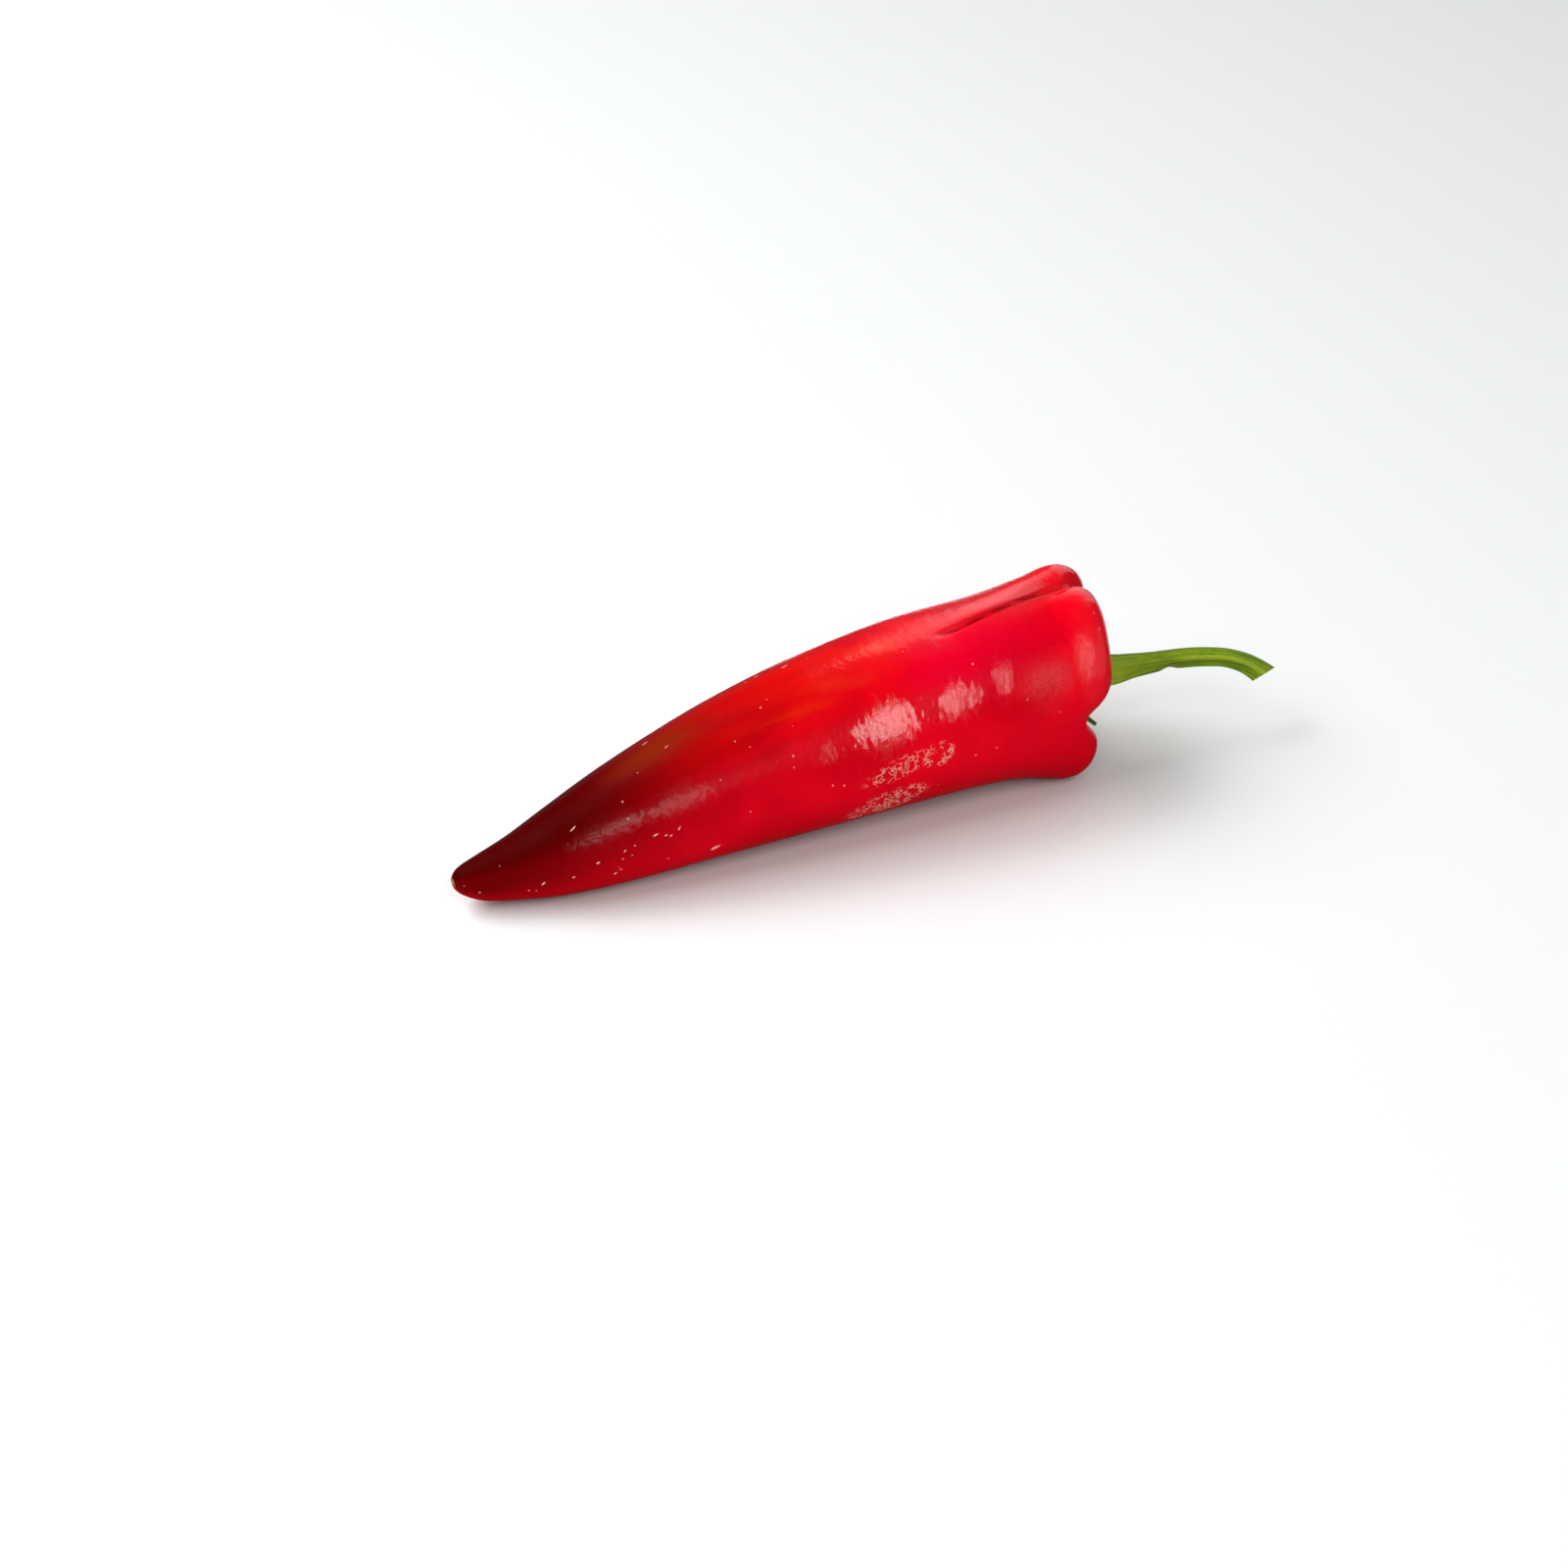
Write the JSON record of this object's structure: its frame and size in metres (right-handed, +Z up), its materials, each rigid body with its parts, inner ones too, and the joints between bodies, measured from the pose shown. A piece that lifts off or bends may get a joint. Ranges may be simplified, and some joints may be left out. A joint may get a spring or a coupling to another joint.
{
  "type": "pointed sweet pepper",
  "caption": "Long pointed sweet pepper with a lobed shoulder, a toothed calyx and a curved cut stem, lying on its side.",
  "frame": {"origin": "on the surface that the pepper lies on, under the middle of its length and width", "axes": "+X from the fruit's point to the cut end of the stem, +Z up from the surface"},
  "size_m": [0.257, 0.0552, 0.0576],
  "materials": {
    "skin": "glossy, waxy, crimson with darker and more orange patches, fine pale dots and a few corky scars",
    "stem": "satin yellow-green with lengthwise ridges, a paler base and a pale slanted cut end"
  },
  "bodies": {
    "root": {"fruit": "skin", "stem_and_calyx": "stem"}
  },
  "joints": []
}
